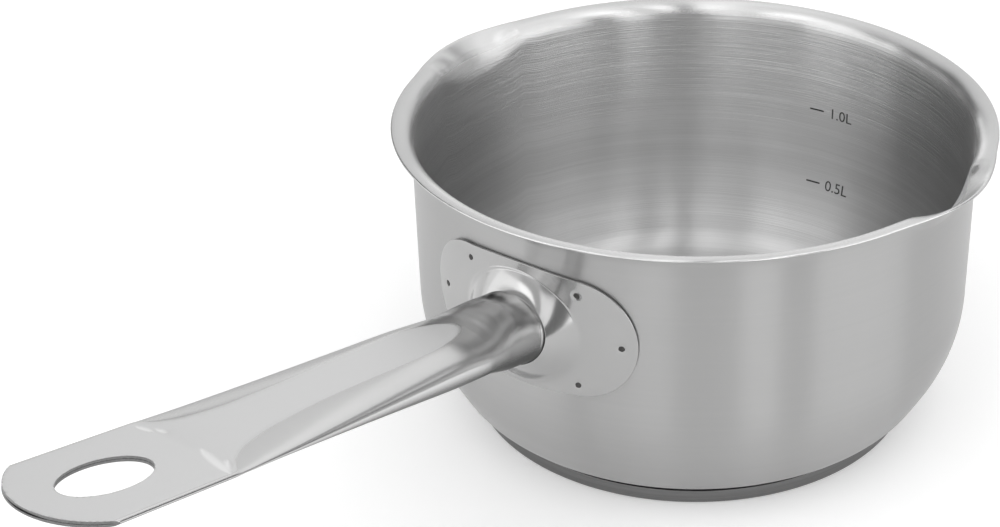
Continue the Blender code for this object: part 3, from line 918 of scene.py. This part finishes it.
def apply_modifiers(made):
    """Replaces a piece's mesh by what its modifiers make of it."""
    graph = bpy.context.evaluated_depsgraph_get()
    mesh = bpy.data.meshes.new_from_object(made.evaluated_get(graph))
    made.modifiers.clear()
    made.data = mesh


def mark_cut_faces(made):
    """Gives the second finish to the faces that the tip's cut and the hole's cut left."""
    mesh = made.data
    count = len(mesh.polygons)
    centre, normal = np.empty(count * 3), np.empty(count * 3)
    mesh.polygons.foreach_get("center", centre)
    mesh.polygons.foreach_get("normal", normal)
    from_start = centre.reshape(-1, 3) - AXIS_START
    distance, across = from_start @ AXIS, from_start @ ACROSS
    upright = np.abs(normal.reshape(-1, 3) @ UPWARD) < CUT_FACE_SLOPE
    hole_along = (distance - HANDLE_LENGTH + HOLE_FROM_TIP) / (HOLE_HALF_LENGTH + CUT_EDGE)
    in_hole = np.hypot(hole_along, across / (HOLE_HALF_WIDTH + CUT_EDGE)) < 1.0
    at_tip = distance > HANDLE_LENGTH - TIP_BULGE
    mesh.polygons.foreach_set("material_index", (upright & (in_hole | at_tip)).astype(np.int32))


def handle_distances():
    """Distances of the handle's rows from the wall, closest where its shape turns fastest."""
    stretches, start = [], TUBE_START
    for end, rows in HANDLE_ROWS:
        stretches.append(np.linspace(start, end, rows)[:-1])
        start = end
    return np.append(np.concatenate(stretches), start)


def handle_rings():
    """Rings of the tube's outer side and of its inside, and the numbers of each outer point.

    The sections are joined by smooth curves. The ring at the tube's start adds a small step to
    them, and the flats begin as a quarter ellipse. The inside is a wall away, at every few rows,
    and where the tube is pressed flat only the gap between its two layers is left.
    """
    distance = handle_distances()
    at = SECTIONS[:, 0]
    half_height, half_width, flat = [smooth_through(distance, at, SECTIONS[:, i]) for i in (1, 2, 3)]
    ring = RING_STEP * np.clip((RING_END - distance) / RING_SOFT, 0.0, 1.0)
    grown = np.clip((FLAT_GROWN - distance) / (FLAT_GROWN - FLAT_START), 0.0, 1.0)
    flat = np.where(distance < FLAT_GROWN, FLAT_GROWN_HALF_WIDTH * np.sqrt(1.0 - grown ** 2), flat)
    across, up, flatness = ring_sections(half_width + ring, half_height + ring, flat)
    run = distance[:, None] * np.ones_like(across)
    leaves = np.where(up > 0.0, leaf_marks(run, across), 0.0)
    up = up - LEAF_DEPTH * leaves
    # Painted shade: none from a fifth of the half height above the axis, a third at the axis, full from a
    # third below it
    under = np.clip(PAINTED_UNDERSIDE_SHARE - PAINTED_UNDERSIDE_FALL * up / (half_height + ring)[:, None], 0.0, 1.0)

    some = slice(None, None, INSIDE_EVERY)
    inside_width = half_width[some] - TUBE_WALL
    inside_flat = np.minimum(flat[some], inside_width * INSIDE_FLAT_SHARE)
    layer = np.maximum(half_height[some] - TUBE_WALL, LAYER_GAP / 2)
    inside_across, inside_up, _ = ring_sections(inside_width, layer, inside_flat)
    inside = on_axis(run[some], inside_across, inside_up)
    return on_axis(run, across, up), inside, {"satin": flatness, "leaf": leaves, "under": under}


def make_tube(finishes):
    """The pressed tube as one closed sheet, longer than its tip and without its hole."""
    outside, inside, values = handle_rings()
    rings = np.concatenate([outside, inside[::-1]])
    rows, columns, _ = rings.shape
    hidden = np.zeros(len(inside) * columns)
    values = {label: np.concatenate([value.ravel(), hidden]) for label, value in values.items()}
    faces = between_rings(rows, columns, around=True).tolist()
    return make_piece("handle_tube", rings.reshape(-1, 3), faces, finishes, None, values)


def tip_outline():
    """Distance and across of what the tip's cut takes: the tip's arc, closed wide round the blade."""
    radius = (BLADE_HALF_WIDTH ** 2 + TIP_BULGE ** 2) / (2 * TIP_BULGE)
    reach = math.atan2(BLADE_HALF_WIDTH, radius - TIP_BULGE)
    swing = np.linspace(-reach, reach, TIP_POINTS)
    wide = BLADE_HALF_WIDTH + CUTTER_BESIDE
    corner = HANDLE_LENGTH - TIP_BULGE - GAP
    beyond = HANDLE_LENGTH + CUTTER_BEYOND
    distance = np.append(HANDLE_LENGTH - radius + radius * np.cos(swing), [corner, beyond, beyond, corner])
    return distance, np.append(radius * np.sin(swing), [wide, wide, -wide, -wide])


def hole_outline():
    """Distance and across of the oval hanging hole."""
    turn = np.linspace(2 * math.pi, 0.0, HOLE_POINTS, endpoint=False)
    distance = HANDLE_LENGTH - HOLE_FROM_TIP + HOLE_HALF_LENGTH * np.cos(turn)
    return distance, HOLE_HALF_WIDTH * np.sin(turn)


def cut_blade(made):
    """Cuts the tip round, punches the hole and breaks the sharp edges."""
    cutters = [prism("tip_cutter", *tip_outline()), prism("hole_cutter", *hole_outline())]
    for cutter in cutters:
        cut = made.modifiers.new(cutter.name, "BOOLEAN")
        cut.operation = "DIFFERENCE"
        cut.object = cutter
    edge = made.modifiers.new("cut edge", "BEVEL")
    edge.width = CUT_EDGE
    edge.segments = 2
    edge.limit_method = "ANGLE"
    edge.angle_limit = CUT_EDGE_ANGLE
    edge.harden_normals = True
    apply_modifiers(made)
    for cutter in cutters:
        bpy.data.objects.remove(cutter)


def make_handle(finish, cut_finish):
    """The tube, pressed flat towards its tip, with its tip cut round and its hole punched."""
    made = make_tube([finish, cut_finish])
    cut_blade(made)
    mark_cut_faces(made)
    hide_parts("handle")
    return made


def inner_radius_at(height):
    """Radius of the bowl's inner side: the upright wall, and the shoulder's arc below it."""
    below = np.minimum(height - SHOULDER_HEIGHT, 0.0)
    shoulder = SHOULDER_RADIUS - BOWL_SHEET
    return BOWL_RADIUS - SHOULDER_RADIUS + np.sqrt(shoulder ** 2 - below ** 2)


def printed_on_wall(name, curve, start_angle, height, finish):
    """A flat curve or text made a thin closed mesh and bent onto the bowl's inner wall."""
    holder = bpy.data.objects.new(name + "_outline", curve)
    bpy.context.scene.collection.objects.link(holder)
    bpy.context.view_layer.update()
    graph = bpy.context.evaluated_depsgraph_get()
    mesh = bpy.data.meshes.new_from_object(holder.evaluated_get(graph))
    bpy.data.objects.remove(holder)
    flat = np.empty(len(mesh.vertices) * 3)
    mesh.vertices.foreach_get("co", flat)
    flat = flat.reshape(-1, 3)
    angle = start_angle - flat[:, 0] / INNER_RADIUS
    level = height + flat[:, 1]
    radius = inner_radius_at(level) - MARK_THICKNESS - flat[:, 2]
    bent = np.stack([radius * np.cos(angle), radius * np.sin(angle), level], axis=1)
    mesh.vertices.foreach_set("co", bent.ravel())
    mesh.update()
    mesh.materials.clear()
    mesh.materials.append(finish)
    made = bpy.data.objects.new(name, mesh)
    bpy.context.scene.collection.objects.link(made)
    return made


def number_curve(label):
    """A litre mark's number as flat text."""
    text = bpy.data.curves.new("text", "FONT")
    text.body = label
    text.size = TEXT_HEIGHT / TEXT_HEIGHT_SHARE
    text.align_x = "LEFT"
    text.align_y = "CENTER"
    text.extrude = MARK_THICKNESS / 2
    text.resolution_u = 4
    return text


def dash_curve():
    """A litre mark's dash: an oval whose sine and cosine are raised to a small power."""
    half_length = (DASH_START - DASH_END) * INNER_RADIUS / 2
    turn = np.linspace(0.0, 2 * math.pi, DASH_POINTS, endpoint=False)
    out, up = [np.sign(wave) * np.abs(wave) ** DASH_POWER for wave in (np.cos(turn), np.sin(turn))]
    dash = bpy.data.curves.new("dash", "CURVE")
    dash.dimensions = "2D"
    dash.fill_mode = "BOTH"
    dash.extrude = MARK_THICKNESS / 2
    line = dash.splines.new("POLY")
    line.points.add(len(turn) - 1)
    places = np.stack([half_length * (1.0 + out), DASH_HALF_HEIGHT * up, 0 * up, 0 * up + 1], axis=1)
    line.points.foreach_set("co", places.ravel())
    line.use_cyclic_u = True
    return dash


def make_marks(finish):
    """The litre marks: a dash and its number for each, printed on the inner wall."""
    made = []
    for label, height in MARKS:
        tag = label.replace(".", "_")
        number, dash = number_curve(label), dash_curve()
        made.append(printed_on_wall("mark_" + tag, number, TEXT_START, height - TEXT_DROP, finish))
        made.append(printed_on_wall("dash_" + tag, dash, DASH_START, height, finish))
    return made


def make_camera():
    """The photograph's camera."""
    data = bpy.data.cameras.new("camera")
    data.lens = CAMERA_LENS
    data.sensor_width = CAMERA_SENSOR
    data.shift_x, data.shift_y = CAMERA_SHIFT
    data.clip_start = CAMERA_NEAREST
    made = bpy.data.objects.new("camera", data)
    made.location = CAMERA_PLACE
    made.rotation_euler = CAMERA_TURN
    bpy.context.scene.collection.objects.link(made)
    bpy.context.scene.camera = made


def seen_or_mirrored(finish):
    """1 for rays from the camera and for mirrored and refracted ones, 0 for the light itself."""
    camera = finish.node("ShaderNodeLightPath", output="Is Camera Ray")
    beyond = finish.maths("MAXIMUM", camera.beside("Is Glossy Ray"), camera.beside("Is Transmission Ray"))
    return finish.maths("MAXIMUM", camera, beyond)


def make_floor():
    """A plain white floor that keeps the object's shadow."""
    corners = np.array([(-1.0, -1.0), (1.0, -1.0), (1.0, 1.0), (-1.0, 1.0)]) * FLOOR_REACH
    points = np.column_stack([corners, np.full(4, -FLOOR_DROP)])
    finish = Finish("white floor")
    lift = seen_or_mirrored(finish) * FLOOR_LIFT
    finish.surface(Base_Color=grey(FLOOR_COLOUR), Roughness=0.9, Specular_IOR_Level=0.0,
                   Emission_Color=grey(1.0), Emission_Strength=lift)
    floor = make_piece("floor", points, [[0, 1, 2, 3]], [finish.material])


def make_world():
    """A soft studio: three bands of upright light panels round the pan, and strips overhead."""
    world = bpy.data.worlds.new("studio")
    world.use_nodes = True
    bpy.context.scene.world = world
    studio = Studio(world.node_tree)
    background = studio.node("ShaderNodeBackground", inputs={"Color": grey(1.0)})
    output = studio.tree.nodes.new("ShaderNodeOutputWorld")
    studio.tree.links.new(background.socket, output.inputs["Surface"])
    direction = studio.node("ShaderNodeTexCoord", output="Generated")
    east = studio.node("ShaderNodeSeparateXYZ", inputs={"Vector": direction})
    north, up = east.beside("Y"), east.beside("Z")
    heading = studio.maths("ARCTAN2", north, east) * math.degrees(1.0)
    turns = (STUDIO_RIGHT, STUDIO_FRONT)
    right, front = [east * math.cos(turn) + north * math.sin(turn) for turn in turns]
    level = studio.panels(heading, LOW_PANELS, FULL_TURN)
    for starts, panels in ((MIDDLE_STARTS, MIDDLE_PANELS), (UPPER_STARTS, UPPER_PANELS)):
        level = studio.chosen(up, starts, level, studio.panels(heading, panels, FULL_TURN))
    beyond, before = [studio.panels(right, strips, FULL_WIDTH) for strips in (BACK_STRIPS, FRONT_STRIPS)]
    level = studio.chosen(up, HIGH_STARTS, level, studio.chosen(front, 0.0, beyond, before))
    studio.tree.links.new(level.socket, background.socket.node.inputs["Strength"])


def main():
    bpy.context.scene.view_settings.view_transform = "Standard"
    make_camera()
    pieces = [make_bowl(polished_bowl_finish(), brushed_inside_finish())]
    pieces.append(make_base(base_finish_with_painted_shade()))
    pieces.append(make_plate(plate_finish()))
    pieces.append(make_handle(handle_finish(), cut_edge_finish()))
    weld = weld_finish()
    pieces += [make_weld(index + 1, place, weld) for index, place in enumerate(weld_places())]
    pieces += make_marks(print_finish())
    for piece in pieces:
        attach(piece, "root")
    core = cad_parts["base_core"]
    core.data.materials.clear()
    core.data.materials.append(aluminium_finish())
    make_floor()
    make_world()


main()
